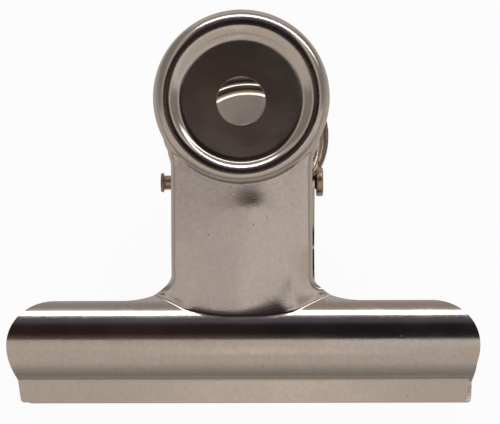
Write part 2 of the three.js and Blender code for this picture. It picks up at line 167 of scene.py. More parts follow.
class ClipPinSizes(bpy.types.PropertyGroup):
    """Sizes of the pin"""

    radius: length("Pin radius", "Radius of the pin", 1.2)
    head: length("Head radius", "Radius of the head", 2.43)
    head_inner: length("Head inner face", "Where the head begins, from the middle", 12.04)
    head_thick: length("Head thickness", "Thickness of the head", 1.15)
    head_edge: length("Head edge", "Rounding of the head", 0.3)
    flare: length("Flare radius", "Radius of the flared end", 1.68)
    flare_inner: length("Flare inner face", "Where the flared end begins, from the middle", -13.48)
    flare_thick: length("Flare thickness", "Thickness of the flared end", 0.49)
    tube: length("Tube radius", "Radius of the hollow in the flared end", 0.7)
    tube_depth: length("Tube depth", "Depth of that hollow", 1.8)


class ClipSpringSizes(bpy.types.PropertyGroup):
    """Sizes of the torsion spring"""

    wire: length("Wire", "Diameter of the wire", 1.5)
    coil: length("Coil radius", "Mean radius of the coil", 3)
    turns: FloatProperty(name="Turns", description="Whole turns of the coil", default=9)
    turn_gap: length("Turn gap", "Gap between neighbouring turns", 0.5)
    leg_gap: length("Leg gap", "Gap between a leg and the plate it presses on", 0.3)
    bend_below: length("Leg bend", "Where the leg bends, below the disc's centre", 4.2)
    tip: length("Leg tip", "Straight length that lies along the dish", 5.5)
    leg_bend: length("Leg bend radius", "Radius of the bend in the leg", 2)


class ClipFinish(bpy.types.PropertyGroup):
    """Colours of the clip and its studio"""

    plate: colour("Plate", "Nickel plating of the pressed steel", (0.640, 0.575, 0.520))
    pin: colour("Pin", "Browner steel of the pin", (0.50, 0.385, 0.29))
    # Painted shade: inside is a darker copy of the plating for the faces between the plates. Only
    # its rougher finish is the plating's own.
    inside: colour("Inside", "Duller plating inside the plates", (0.36, 0.32, 0.29))
    # Painted reflection: the back of the dish takes a warmer copy of the plating, tinted to the
    # tone it mirrors through the hang hole.
    dish_back_painted_reflection: colour("Dish back", "Plating on the back of the dish", (0.64, 0.54, 0.45))
    spring: colour("Spring", "Drawn steel wire", (0.42, 0.39, 0.36))
    wall: colour("Studio wall", "Light the metal mirrors all round", (0.60, 0.55, 0.50))
    low_wall: colour("Low wall", "What it mirrors near the floor", (0.33, 0.31, 0.29))
    # under_near and under are painted reflection tones that the floor glows with for the metal;
    # the darker under is painted shade.
    under: colour("Mirrored floor", "What it mirrors of the floor", (0.26, 0.24, 0.22))
    under_near: colour("Near floor", "What it mirrors of the floor near it", (0.56, 0.51, 0.46))
    upper_wall: colour("Upper wall", "What it mirrors below the ceiling", (0.70, 0.66, 0.64))
    far_wall: colour("Far wall", "What it mirrors past the softbox", (0.36, 0.33, 0.295))
    back_wall: colour("Back wall", "What it mirrors behind the clip", (0.58, 0.55, 0.60))
    side_wall: colour("Side wall", "What it mirrors to the sides", (0.28, 0.26, 0.24))
    corner_wall: colour("Corner wall", "What it mirrors far to the sides", (0.40, 0.38, 0.38))
    ceiling: colour("Dark ceiling", "What flat faces mirror overhead", (0.012, 0.012, 0.013))
    warm: colour("Warm ceiling", "The dark ceiling on the left", (0.030, 0.016, 0.013))
    glow: colour("Warm edge", "The left ceiling's lower edge", (0.115, 0.064, 0.054))
    haze: colour("Warm haze", "The ceiling above that edge", (0.070, 0.052, 0.046))
    slate: colour("Slate ceiling", "Far part of the dark ceiling", (0.085, 0.080, 0.105))
    floor: colour("Floor", "Pale studio floor", (0.90, 0.90, 0.90))
    softbox: FloatProperty(name="Softbox", description="Brightness of the softbox", default=4.6)


# Number helpers


def ease(t):
    """A ramp from 0 to 1 that starts and ends level: 3 t^2 - 2 t^3."""
    t = np.clip(t, 0, 1)
    return t * t * (3 - 2 * t)


def soft_max(a, b, width):
    """The larger of a and b, rounded with a parabola where they differ by less than width."""
    near = np.clip(1 - np.abs(a - b) / width, 0, 1)
    return np.maximum(a, b) + near * near * width / 4


class Lie:
    """How the clip lies: turned about the pin's axis until it rests on bar and disc."""

    lean = math.radians(11.298)
    axis_y, axis_z = 4.6565 * MM, 11.4857 * MM

    @classmethod
    def turned(cls, v):
        """Directions (x, u, n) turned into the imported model's frame."""
        x, u, n = np.moveaxis(np.asarray(v, float), -1, 0)
        c, s = math.cos(cls.lean), math.sin(cls.lean)
        return np.stack([x, u * c - n * s, u * s + n * c], -1)

    @classmethod
    def lay_down(cls, points):
        """Points (x, u, n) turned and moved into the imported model's frame."""
        return cls.turned(points) + np.array([0, cls.axis_y, cls.axis_z])


# Meshes


def patch(points, facing, flat):
    """Grid of points (rows, columns, 3) as a vertex list, quads wound so that the middle quad
    points along facing, and each vertex's flat coordinates (rows, columns, 2)."""
    rows, columns = points.shape[:2]
    index = np.arange(rows * columns).reshape(rows, columns)
    quads = np.stack([index[:-1, :-1], index[:-1, 1:], index[1:, 1:], index[1:, :-1]], -1)
    r, c = rows // 2, columns // 2
    across = points[r, c] - points[r, c - 1]
    along = points[r, c] - points[r - 1, c]
    if np.dot(np.cross(across, along), facing) < 0:
        quads = quads[..., ::-1]
    return points.reshape(-1, 3), quads.reshape(-1, 4), flat.reshape(-1, 2)


def mesh_object(name, patches):
    """One object from several patches, welded together. The flat coordinates go into the layer
    "flat", in millimetres."""
    starts = np.cumsum([0] + [len(p) for p, _, _ in patches])
    points = np.concatenate([p for p, _, _ in patches])
    quads = np.concatenate([q + start for (_, q, _), start in zip(patches, starts)])
    flat = np.concatenate([f for _, _, f in patches]) / MM
    mesh = bpy.data.meshes.new(name)
    mesh.from_pydata(points.tolist(), [], quads.tolist())
    corner = np.zeros(len(mesh.loops), dtype=np.int32)
    mesh.loops.foreach_get("vertex_index", corner)
    mesh.uv_layers.new(name="flat").data.foreach_set("uv", flat[corner].ravel())
    work = bmesh.new()
    work.from_mesh(mesh)
    bmesh.ops.remove_doubles(work, verts=work.verts, dist=WELD)
    bmesh.ops.dissolve_degenerate(work, edges=work.edges, dist=WELD / 4)
    work.to_mesh(mesh)
    work.free()
    mesh.shade_smooth()
    obj = bpy.data.objects.new(name, mesh)
    bpy.context.scene.collection.objects.link(obj)
    return obj


def thicken(obj, sheet, edge):
    """Gives a one-sided sheet its thickness inwards and rounds its cut edges. Its inside takes
    the object's second material, if it has one."""
    wall = obj.modifiers.new("Sheet", "SOLIDIFY")
    wall.thickness = sheet
    wall.offset = -1
    wall.use_quality_normals = True
    wall.material_offset = 1
    soft = obj.modifiers.new("Cut edges", "BEVEL")
    soft.width = edge
    soft.segments = 3
    soft.limit_method = "ANGLE"
    soft.angle_limit = math.radians(50)
    soft.use_clamp_overlap = True
    soft.harden_normals = True


def closed_object(name, grid):
    """One object from a closed grid in the clip's own frame, with its faces turned outwards."""
    obj = mesh_object(name, [patch(Lie.lay_down(grid), (0, 0, 0), grid[..., :2])])
    work = bmesh.new()
    work.from_mesh(obj.data)
    bmesh.ops.recalc_face_normals(work, faces=work.faces)
    work.to_mesh(obj.data)
    work.free()
    return obj


def finish_piece(obj, material, body, nodes):
    """Gives a piece its material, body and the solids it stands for."""
    obj.data.materials.append(material)
    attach(obj, body)
    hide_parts(*nodes)


# The pressed plate


class Plate:
    """Outer face of one pressed plate, in the clip's own frame."""

    UNDER_RIM = math.radians(9.5)  # how far the side runs on under the disc's rim
    UNDER_STEP = 0.6 * MM  # how far it steps in there
    SUNK = 0.03 * MM  # how far the web's top lies below the bead's face
    UNDER_BEND = 0.4  # the side bend's radius there, as a share of its full radius
    CLOSED = 0.6  # share of the flare where the turned side has run out
    LEAST_SIDE = 0.12 * MM  # least depth of the turned side before that
    LIP_TOP, WEB_FOOT = -3 * MM, -1 * MM  # where lip and web end, from the bar's axis
    ABSENT = -1.0  # height of a face past its end, far behind every other face
    UNDER_ROWS, NECK_ROWS, STRAIGHT_ROWS, FLARE_ROWS = 8, 30, 30, 51
    WEB_COLUMNS, BEND_COLUMNS, SIDE_COLUMNS = 45, 11, 10

    # The web's low swellings: x, height over swell_u, width and height of the bell shape, all in
    # millimetres, and how many times swell it rises
    SWELLINGS = (
        (1.5, 0.0, 2.6, 2.5, 1.0),
        (-2.6, -0.8, 2.4, 2.6, 0.25),
        (5.4, -1.2, 2.0, 2.4, 0.2),
        (7.9, -12.9, 1.5, 3.0, 1.9),
        (-8.8, -11.8, 1.1, 3.0, 2.0),
    )

    def __init__(self, jaw, shank, disc):
        self.jaw, self.shank, self.disc = jaw, shank, disc
        tip_n = jaw.lip_gap / 2 + shank.sheet / math.cos(jaw.lip_lean)
        lip_n = tip_n + jaw.lip_length * math.sin(jaw.lip_lean)
        self.bar_n = lip_n - jaw.radius * math.cos(jaw.lip_angle)
        self.top_u = jaw.axis_u + jaw.radius * math.sin(jaw.top_angle)
        self.lip_u = jaw.axis_u + jaw.radius * math.sin(jaw.lip_angle)
        self.lip_n = lip_n
        self.edge_u = self.lip_u - jaw.lip_length * math.cos(jaw.lip_lean)
        self.crease_u = jaw.axis_u + jaw.radius * math.sin(shank.crease_angle)
        self.crease_n = self.bar_n + jaw.radius * math.cos(shank.crease_angle)
        self.half = shank.width / 2
        self.flare_u = self.top_u + shank.flare_tall
        reach = disc.radius + shank.neck
        self.neck_x = self.half + shank.neck
        self.neck_u = disc.centre_u - math.sqrt(reach**2 - self.neck_x**2)
        self.neck_angle = math.asin((disc.centre_u - self.neck_u) / reach)
        neck_top = self.neck_u + shank.neck * math.sin(self.neck_angle)
        self.rim_back = (
            disc.centre_n
            + (neck_top - disc.centre_u) * math.tan(disc.lean)
            - disc.rim / math.cos(disc.lean)
        )

    # Heights of the outer face over the (x, u) plane

    def bar(self, u):
        """The rolled bar: a circle, n = axis + sqrt(R^2 - (u - axis)^2)."""
        inside = self.jaw.radius**2 - (u - self.jaw.axis_u) ** 2
        return self.bar_n + np.sqrt(np.maximum(inside, 0))

    def lip(self, u):
        """The lip: a straight line at the lip's lean through the bar's lower end."""
        line = self.lip_n + (u - self.lip_u) * math.tan(self.jaw.lip_lean)
        return np.where(u < self.jaw.axis_u + self.LIP_TOP, line, self.ABSENT)

    def web(self, x, u):
        """The web: a plane at the shank's lean that falls back towards its sides near the bar,
        with the cube of the distance from the middle, eased in with height."""
        s = self.shank
        plane = self.crease_n + (u - self.crease_u) * math.tan(s.lean)
        opened = 1 - ease((u - self.top_u) / (s.flare_tall + s.flare_reach))
        return plane - (np.abs(x) / s.fall) ** 3 * MM * opened

    def bead(self, x, u):
        """The disc's bead seen from the front: a quarter circle over the distance from the
        disc's axis, and a steep fall beyond it. That distance lies in the leaning disc's own
        plane and depends on the height, so both are found in a few rounds."""
        d = self.disc
        bead_radius = d.radius - d.crest
        h, out = np.zeros_like(u), np.zeros_like(u)
        rounds, steep = 6, 6
        for _ in range(rounds):
            b = (u - d.centre_u + h * math.sin(d.lean)) / math.cos(d.lean)
            out = np.hypot(x, b + self.dropped(d.crest + out)) - d.crest
            inside = np.maximum(bead_radius**2 - np.maximum(out, 0) ** 2, 0)
            h = np.sqrt(inside) - bead_radius - steep * np.maximum(out - bead_radius, 0)
        return d.centre_n + b * math.sin(d.lean) + h * math.cos(d.lean)

    def dropped(self, radius):
        """How far the disc's circle of this radius lies below the rim's middle: the whole drop
        up to the crest, nothing at the rim, and a little more round the hole."""
        d = self.disc
        hole = d.hole_drop * (1 - ease((radius - d.hole) / (d.dish - d.hole)))
        return hole + d.drop * (1 - ease((radius - d.crest) / (d.radius - d.crest)))

    def swells(self, x, u):
        """The low swellings that the press left in the web, and a hollow above the bar,
        -t a exp(-a / reach) at the height a above the crease."""
        s = self.shank
        total = 0 * x
        for at_x, at_u, wide, tall, times in self.SWELLINGS:
            a, b = (x - at_x * MM) / (wide * MM), (u - s.swell_u - at_u * MM) / (tall * MM)
            total = total + times * s.swell * np.exp(-a * a - b * b)
        rise = (np.abs(x) / s.fall) ** 3 * MM / (math.tan(s.lean) + math.tan(s.crease_angle))
        above = np.maximum(u - self.crease_u - rise, 0)
        left, right = -1 * MM, 8 * MM
        reach = s.foot_reach + s.foot_spread * ease((x - left) / (right - left))
        return total - math.tan(s.foot) * above * np.exp(-above / reach)

    def face(self, x, u):
        """Web, bar and lip together, with soft lines between them."""
        over_foot = u > self.jaw.axis_u + self.WEB_FOOT
        web = np.where(over_foot, self.web(x, u) + self.swells(x, u), self.ABSENT)
        upper = soft_max(web, self.bar(u), self.shank.crease_soft)
        return soft_max(upper, self.lip(u), self.jaw.lip_crease)

    def under_bead(self, x, u, n):
        """Heights n raised to the bead's face, and sunk a little below it, near the disc."""
        return soft_max(n, self.bead(x, u) - self.SUNK, self.disc.joint_soft)

    # The side's outline and how it is turned back

    def side(self):
        """Rows down the shank's right side: outline point, outward direction, share of the flare
        passed, and radius of the bend. It runs under the rim, down the neck's arc, straight down,
        and out along a quarter ellipse to the bar."""
        s, d = self.shank, self.disc
        psi = math.pi / 2 - self.neck_angle
        t = np.linspace(1, 0, self.UNDER_ROWS, endpoint=False)
        angle, radius = psi + t * self.UNDER_RIM, d.radius - t * self.UNDER_STEP
        under = np.stack([
            radius * np.sin(angle), d.centre_u - radius * np.cos(angle),
            np.sin(angle), -np.cos(angle), 0 * t, s.bend * (1 - (1 - self.UNDER_BEND) * t),
        ])
        w = np.linspace(self.neck_angle, 0, self.NECK_ROWS, endpoint=False)
        neck = np.stack([
            self.neck_x - s.neck * np.cos(w), self.neck_u + s.neck * np.sin(w),
            np.cos(w), -np.sin(w), 0 * w, s.bend + 0 * w,
        ])
        u = np.concatenate([
            np.linspace(self.neck_u, s.foot_u, self.STRAIGHT_ROWS, endpoint=False),
            np.linspace(s.foot_u, self.flare_u, self.STRAIGHT_ROWS, endpoint=False),
        ])
        straight = np.stack([self.half + 0 * u, u, 1 + 0 * u, 0 * u, 0 * u, s.bend + 0 * u])
        p = np.linspace(0, math.pi / 2, self.FLARE_ROWS)
        normal = np.stack([s.flare_tall * np.cos(p), s.flare_wide * np.sin(p)])
        normal /= np.hypot(*normal)
        flare = np.stack([
            self.half + s.flare_wide * (1 - np.cos(p)), self.flare_u - s.flare_tall * np.sin(p),
            *normal, p / (math.pi / 2), s.bend + 0 * p,
        ])
        return np.concatenate([under, neck, straight, flare], 1)

    def back_edge(self, u):
        """Depth n of the turned side's back edge at height u."""
        s = self.shank
        return np.interp(
            u,
            [s.end_u, s.side_u, s.foot_u, self.neck_u],
            [s.end_n, s.side_n, s.foot_n, self.rim_back],
        )

    def half_web(self, sign):
        """Right or left half of the shank as two grids (rows, columns, 3): the web from the
        middle out, and the bend with the side. Rows follow side(). The bend is an arc from the
        web's own slope to straight back, and it opens and runs out along the flare."""
        s = self.shank
        px, pu, mx, mu, passed, bend = (v[:, None] for v in self.side())
        inwards, step = 0.7 * s.bend, 0.05 * MM
        near_x, near_u = px - mx * inwards, pu - mu * inwards
        rise = self.face(near_x + mx * step, near_u + mu * step) - self.face(near_x, near_u)
        first = np.arctan(rise / step)
        opening = ease(passed / self.CLOSED)
        last = -math.pi / 2 + (math.pi / 2 + first) * opening
        arc_reach = bend * (np.sin(first) - np.sin(last))
        arc_drop = bend * (np.cos(first) - np.cos(last))
        edge_n = self.web(px - mx * arc_reach, pu - mu * arc_reach) - arc_drop
        depth = np.maximum(edge_n - self.back_edge(pu), self.LEAST_SIDE) * (1 - opening)
        reach = arc_reach + depth * np.cos(last)
        in_x, in_u = px - mx * reach, pu - mu * reach

        c = np.linspace(0, 1, self.WEB_COLUMNS)[None, :]
        middle = self.row_middles()[:, None]
        x, u = sign * c * in_x, middle + (in_u - middle) * c * c
        web = np.stack([x, u, self.under_bead(x, u, self.face(x, u))], -1)

        angle = first + (last - first) * np.linspace(0, 1, self.BEND_COLUMNS)[None, :]
        down = np.linspace(0, 1, self.SIDE_COLUMNS)[None, 1:]
        out = np.concatenate([
            bend * (np.sin(first) - np.sin(angle)), arc_reach + depth * np.cos(last) * down], 1)
        drop = np.concatenate([
            bend * (np.cos(angle) - np.cos(first)), depth * np.sin(last) * down - arc_drop], 1)
        x, u = sign * (in_x + mx * out), in_u + mu * out
        n = self.face(sign * in_x, in_u) + drop
        bent = self.BEND_COLUMNS
        n[:, :bent] = self.under_bead(x[:, :bent], u[:, :bent], n[:, :bent])
        turned = np.stack([x, u, n], -1)
        return web, turned[: np.argmax(passed >= self.CLOSED) + 1]

    def row_middles(self):
        """Height of each row's middle: from just under the bead, through level rows half way
        down the shank, to just below the crease."""
        s, d = self.shank, self.disc
        outline = self.side()[:2]
        pu = outline[1]
        along = np.concatenate([[0], np.cumsum(np.hypot(*np.diff(outline, axis=1)))])
        high, low = s.foot_u + 2.5 * MM, s.foot_u - 3 * MM
        top = d.centre_u - (d.radius - 0.9 * MM) * math.cos(d.lean)
        bottom = self.crease_u - 1.2 * MM
        a_high, a_low = np.interp([-high, -low], -pu, along)
        t_high = np.clip(along / a_high, 0, 1)
        t_low = np.clip((along - a_low) / (along[-1] - a_low), 0, 1)
        upper = top + (high - top) * t_high**1.5
        lower = low + (bottom - low) * t_low
        return np.where(along < a_high, upper, np.where(along > a_low, lower, pu))

    def shank_grid(self):
        """The whole web, from the left side's bend to the right side's."""
        right, left = self.half_web(1)[0], self.half_web(-1)[0]
        return np.concatenate([left[:, :0:-1], right], 1)

    def jaw_half_width(self, u):
        """Half width of the jaw at height u: a quarter ellipse, a parabola down to the lip,
        and the lip's taper with rounded corners."""
        j = self.jaw
        half = j.width / 2
        widest = self.top_u - j.end_drop
        rise = np.clip((u - widest) / j.end_drop, 0, 1)
        upper = half - j.end_radius * (1 - np.sqrt(1 - rise**2))
        fall = np.clip((widest - u) / (widest - self.lip_u), 0, 1)
        middle = half - j.lip_shorter * fall**2
        along = np.clip((self.lip_u - u) / (self.lip_u - self.edge_u), 0, 1)
        taper = middle - j.lip_taper * along
        last = np.clip(1 - (u - self.edge_u) / j.lip_corner, 0, 1)
        corner = j.lip_corner * (1 - np.sqrt(1 - last**2))
        return np.where(u > widest, upper, taper - corner)

    def jaw_grid(self, aside):
        """Bar and lip, with the jaw's ends moved aside. Columns run along x, and spread to the
        outline near the ends. Rows run down from the bar's top edge, or from the shank's lowest
        row, to the lip's edge, and lie close together at the line between bar and lip."""
        j = self.jaw
        close = 0.6 * MM
        low_row = self.shank_grid()[-1]
        keep = np.concatenate([[True], np.diff(low_row[:, 0]) > 0.05 * WELD])
        inner_x, inner_u = low_row[keep, 0], low_row[keep, 1]
        plain_x = j.width / 2 - j.end_radius - close
        beside = np.linspace(inner_x[-1], plain_x, 24)[1:]
        share = np.linspace(0, 1, 15)[1:]
        widest = self.top_u - j.end_drop
        angle = np.linspace(math.pi / 2, 0, 34)
        u = np.concatenate([
            widest + j.end_drop * np.sin(angle),
            np.linspace(widest, self.lip_u + close, 12)[1:],
            np.linspace(self.lip_u + close, self.lip_u - close, 11)[1:],
            np.linspace(self.lip_u - close, self.edge_u + j.lip_corner, 7)[1:],
            self.edge_u + j.lip_corner * np.cos(np.linspace(0, math.pi / 2, 9)[1:]),
        ])
        u[0] = self.top_u

        level = np.full(beside.size, self.top_u)
        start = np.concatenate([level, inner_u, level])
        x = np.concatenate([-beside[::-1], inner_x, beside])
        squeeze = (start - self.lip_u) / (self.top_u - self.lip_u)
        below = np.minimum(u - self.lip_u, 0)[:, None]
        middle_u = self.lip_u + np.maximum(u - self.lip_u, 0)[:, None] * squeeze[None, :] + below
        middle_x = np.broadcast_to(x, middle_u.shape)
        ends = plain_x + (self.jaw_half_width(u)[:, None] - plain_x) * share[None, :]
        end_u = np.broadcast_to(u[:, None], ends.shape)
        aside = aside * share
        gx = np.concatenate([(aside - ends)[:, ::-1], middle_x, ends + aside], 1)
        gu = np.concatenate([end_u, middle_u, end_u], 1)
        return np.stack([gx, gu, self.face(gx, gu)], -1)

    def ear_grid(self, sign):
        """The flat ear: rays from the pin hole to an outline made of the side's back edge, two
        tangents and the rounded end."""
        s = self.shank
        edge = self.half_web(sign)[1][:, -1]
        spare = 0.05 * WELD
        line = edge[(edge[:, 1] >= s.foot_u - spare) & (edge[:, 1] <= self.neck_u + spare)]
        top, foot = line[0, 1:], line[-1, 1:]
        radius = s.ear_radius

        def tangent(point, way):
            """Angle of the point where the tangent from point touches the rounded end."""
            return math.atan2(point[1], point[0]) + way * math.acos(radius / math.hypot(*point))

        round_end = np.linspace(tangent(foot, 1), tangent(top, -1) + 2 * math.pi, 40)
        lobe = radius * np.stack([np.cos(round_end), np.sin(round_end)], -1)
        t = np.linspace(0, 1, 12, endpoint=False)[:, None]
        outline = np.concatenate([
            line[:, 1:], foot + (lobe[0] - foot) * t[1:], lobe,
            lobe[-1] + (top - lobe[-1]) * t[1:], line[:1, 1:],
        ])
        around = np.arctan2(outline[:, 1], outline[:, 0])
        hole = s.ear_hole * np.stack([np.cos(around), np.sin(around)], -1)
        ring = np.linspace(0, 1, 9)[:, None, None]
        grid = hole + (outline - hole) * ring
        return np.concatenate([np.full(grid.shape[:2] + (1,), line[0, 0]), grid], -1)

    # The disc

    def disc_profile(self):
        """Radius and height of the pressed face from the hang hole to the crest, summed up from
        its slope: a level dish, a wide curve up to a steep wall, a slacker shoulder and the
        level crest. The wall is as steep as the dish's depth needs."""
        d = self.disc
        top = d.wall + d.wall_width
        level = d.crest - d.crest_width
        radius = np.concatenate([
            np.linspace(d.hole, d.dish, 10, endpoint=False), np.linspace(d.dish, d.crest, 60)])
        slope = np.tan(np.interp(
            radius, [d.dish, d.wall, top, d.shoulder, level],
            [0, d.foot_slope, d.shoulder_slope, 0.8 * d.shoulder_slope, 0]))
        edge = 0.3 * d.wall_width
        steep = ease((radius - d.wall) / edge) - ease((radius - top + edge) / edge)

        def climb(rate):
            """Height climbed from the hole outwards at the given slopes."""
            steps = (rate[1:] + rate[:-1]) / 2 * np.diff(radius)
            return np.concatenate([[0], np.cumsum(steps)])

        steepness = (d.depth - climb(slope)[-1]) / climb(steep)[-1]
        height = climb(slope + steepness * steep)
        return np.stack([radius, height - height[-1]])

    def disc_grid(self):
        """The thumb disc: its profile turned about its own axis. Round the bead and down the
        rim, the profile ends early where the web takes over, a little below the web."""
        d = self.disc
        below = 0.3 * MM
        margin, fade = math.radians(3.5), math.radians(3)
        psi = np.linspace(-math.pi, math.pi, 193)
        bead_radius = d.radius - d.crest
        arc = bead_radius * math.pi / 2
        full = arc + d.rim - bead_radius
        apart = np.abs(psi) - (math.pi / 2 - self.neck_angle)
        web_n = self.web(d.radius * np.sin(psi), d.centre_u - d.radius * np.cos(psi))
        plane_n = d.centre_n - d.radius * np.cos(psi) * math.sin(d.lean)
        under = np.clip(web_n - plane_n - below, -bead_radius, 0)
        short = bead_radius * np.arccos(np.clip(1 + under / bead_radius, 0, 1))
        reach = short + (full - short) * ease((apart + margin) / fade)
        s = np.linspace(0, 1, 26)[1:, None] * reach[None, :]
        bend = np.minimum(s / bead_radius, math.pi / 2)
        r_out = d.crest + bead_radius * np.sin(bend)
        h_out = -bead_radius * (1 - np.cos(bend)) - np.maximum(s - arc, 0)
        r_in, h_in = self.disc_profile()
        r = np.concatenate([np.broadcast_to(r_in[:, None], (r_in.size, psi.size)), r_out])
        h = np.concatenate([np.broadcast_to(h_in[:, None], (h_in.size, psi.size)), h_out])
        b = -r * np.cos(psi) - self.dropped(r)
        return np.stack([
            r * np.sin(psi),
            d.centre_u + b * math.cos(d.lean) - h * math.sin(d.lean),
            d.centre_n + b * math.sin(d.lean) + h * math.cos(d.lean),
        ], -1)


def turned_over(rear):
    """Signs of x, u and n: the rear plate is the front one turned over about its length."""
    return np.array([-1, 1, -1]) if rear else np.array([1, 1, 1])


def placed(points, rear, shift):
    """A plate's grid stepped aside into its place and laid down with the clip."""
    moved = points * turned_over(rear) + np.array([shift if rear else -shift, 0, 0])
    return Lie.lay_down(moved)


# Shader helpers


class Socket:
    """A shader value that can be used in sums, products and comparisons."""

    def __init__(self, paint, socket):
        self.paint, self.socket = paint, socket

    def _math(self, operation, *values):
        return self.paint.node("ShaderNodeMath", {"operation": operation}, dict(enumerate(values)))

    def __add__(self, other):
        return self._math("ADD", self, other)

    def __radd__(self, other):
        return self._math("ADD", other, self)

    def __sub__(self, other):
        return self._math("SUBTRACT", self, other)

    def __rsub__(self, other):
        return self._math("SUBTRACT", other, self)

    def __mul__(self, other):
        return self._math("MULTIPLY", self, other)

    def __abs__(self):
        return self._math("ABSOLUTE", self)

    def ramp(self, low, high):
        """0 below low, 1 above high, eased between."""
        return self.paint.node(
            "ShaderNodeMapRange",
            {"interpolation_type": "SMOOTHSTEP"},
            {"Value": self, "From Min": low, "From Max": high},
        )


class Paint:
    """Writes one node tree."""

    def __init__(self, tree):
        tree.nodes.clear()
        self.tree = tree

    def node(self, kind, settings=None, sockets=None, output=0):
        """Adds a node. Settings are set first, then each socket gets a value or a link."""
        node = self.tree.nodes.new(kind)
        for name, value in (settings or {}).items():
            setattr(node, name, value)
        for name, value in (sockets or {}).items():
            if isinstance(value, Socket):
                self.tree.links.new(value.socket, node.inputs[name])
            else:
                node.inputs[name].default_value = value
        if not node.outputs:
            return None
        return Socket(self, node.outputs[output])

    def mix(self, share, a, b):
        """Colour a, with colour b mixed in by share."""
        return self.node(
            "ShaderNodeMix", {"data_type": "RGBA"}, {0: share, 6: a, 7: b}, output=2
        )

    def layers(self, base, *layers):
        """A colour with others mixed in, one after another, each given as (share, colour)."""
        shade = rgba(base)
        for share, tone in layers:
            shade = self.mix(share, shade, rgba(tone))
        return shade

    def coordinates(self):
        """Object coordinates in millimetres."""
        place = self.node("ShaderNodeTexCoord", output=3)
        return self.node("ShaderNodeMapping", {}, {"Vector": place, "Scale": (1 / MM,) * 3})

    def part(self, vector, axis):
        """One part of a vector: 0 for x, 1 for y, 2 for z."""
        return self.node("ShaderNodeSeparateXYZ", {}, {"Vector": vector}, output=axis)

    def noise(self, scale, detail):
        """Cloudy noise between 0 and 1, scale cells to the millimetre."""
        return self.node(
            "ShaderNodeTexNoise",
            {"noise_dimensions": "3D"},
            {"Vector": self.coordinates(), "Scale": scale, "Detail": detail},
        )

    def flat(self):
        """The piece's own flat coordinates, in millimetres."""
        return self.node("ShaderNodeUVMap", {"uv_map": "flat"})

    def from_middle(self):
        """Distance from the middle of the flat coordinates."""
        return self.node(
            "ShaderNodeVectorMath", {"operation": "LENGTH"}, {0: self.flat()}, output=1
        )

    def brushing(self, scale, stretch):
        """Noise drawn out along one of the flat coordinates."""
        place = self.node(
            "ShaderNodeMapping", {}, {"Vector": self.flat(), "Scale": (*stretch, 1)}
        )
        return self.node(
            "ShaderNodeTexNoise",
            {"noise_dimensions": "2D"},
            {"Vector": place, "Scale": scale, "Detail": 3.0},
        )

    def specks(self, scale, size):
        """1 in a few scattered round spots, 0 elsewhere. One cell in eight has a spot."""
        cells = {"Vector": self.coordinates(), "Scale": scale}
        far, place = (
            self.node("ShaderNodeTexVoronoi", {"feature": "F1"}, cells, output=output)
            for output in (0, 2)
        )
        pick = self.node(
            "ShaderNodeTexWhiteNoise", {"noise_dimensions": "3D"}, {"Vector": place}
        )
        return (1 - far.ramp(size * 0.5, size)) * pick.ramp(0.86, 0.9)


def rgba(value):
    """A colour as four numbers."""
    return (*value, 1.0)


def scaled(value, share):
    """A colour, darker or lighter by a factor."""
    return [part * share for part in value]


# What a surface is like: how much rougher its worn patches are, how much its pits darken, and
# the height of its clouds, fine waves, grain, brushing and pits in millimetres
PLATED = {"wear": 0.05, "stain": 0.5, "height": (0.008, 0.0016, 0.0034, 0.0008, 0.004)}
TURNED = {"wear": 0.12, "stain": 0.5, "height": (0.0, 0.004, 0.0008, 0.0, 0.004)}
DRAWN = {"wear": 0.12, "stain": 0.6, "height": (0.0, 0.002, 0.0006, 0.0, 0.003)}
PIT_COLOUR = (0.12, 0.10, 0.09)


def metal(name, tint, roughness, surface, dish=None):
    """Plated or drawn steel. tint is its colour. The brushing runs up the piece, and across it
    inside a dish, which is given by the radii between which its duller brushing ends."""
    material = bpy.data.materials.new(name)
    material.use_nodes = True
    p = Paint(material.node_tree)
    clouds, fine, grain = p.noise(0.16, 3.0), p.noise(1.4, 3.0), p.noise(3.6, 1.0)
    brush = p.brushing(9.0, (1, 0.05))
    pits = p.specks(0.55, 0.09)
    high = surface["height"]
    height = (
        clouds * high[0] + fine * high[1] + grain * high[2] + brush * high[3] - pits * high[4]
    )
    patchy = clouds.ramp(0.4, 0.65) * 0.6 + fine.ramp(0.35, 0.7) * 0.4
    streaks = brush.ramp(0.3, 0.7) * 0.5 + fine.ramp(0.3, 0.7) * 0.5
    rough = roughness + patchy * surface["wear"] + pits * 0.35
    tones = [(streaks, scaled(tint, 0.9)), (patchy * 0.35, scaled(tint, 0.86))]
    if dish:
        inside = 1 - p.from_middle().ramp(dish[0] / MM, dish[1] / MM)
        across = p.brushing(10.0, (0.03, 1))
        height = height + across * inside * 0.0022
        rough = rough + inside * (0.02 + across * 0.04)
        tones.append((inside * across.ramp(0.35, 0.65) * 0.4, scaled(tint, 0.6)))
    tones.append((pits * surface["stain"], PIT_COLOUR))
    normal = p.node(
        "ShaderNodeBump", {}, {"Strength": 1.0, "Distance": MM, "Height": height}
    )
    shader = p.node("ShaderNodeBsdfPrincipled", {}, {
        "Base Color": p.layers(tint, *tones), "Metallic": 1.0, "Roughness": rough,
        "Normal": normal,
    })
    p.node("ShaderNodeOutputMaterial", {}, {"Surface": shader})
    return material


# Outputs of the light path node
SEEN, GLOSSY, THROUGH = 0, 3, 6
WHITE, BLACK = (1.0, 1.0, 1.0), (0.0, 0.0, 0.0)


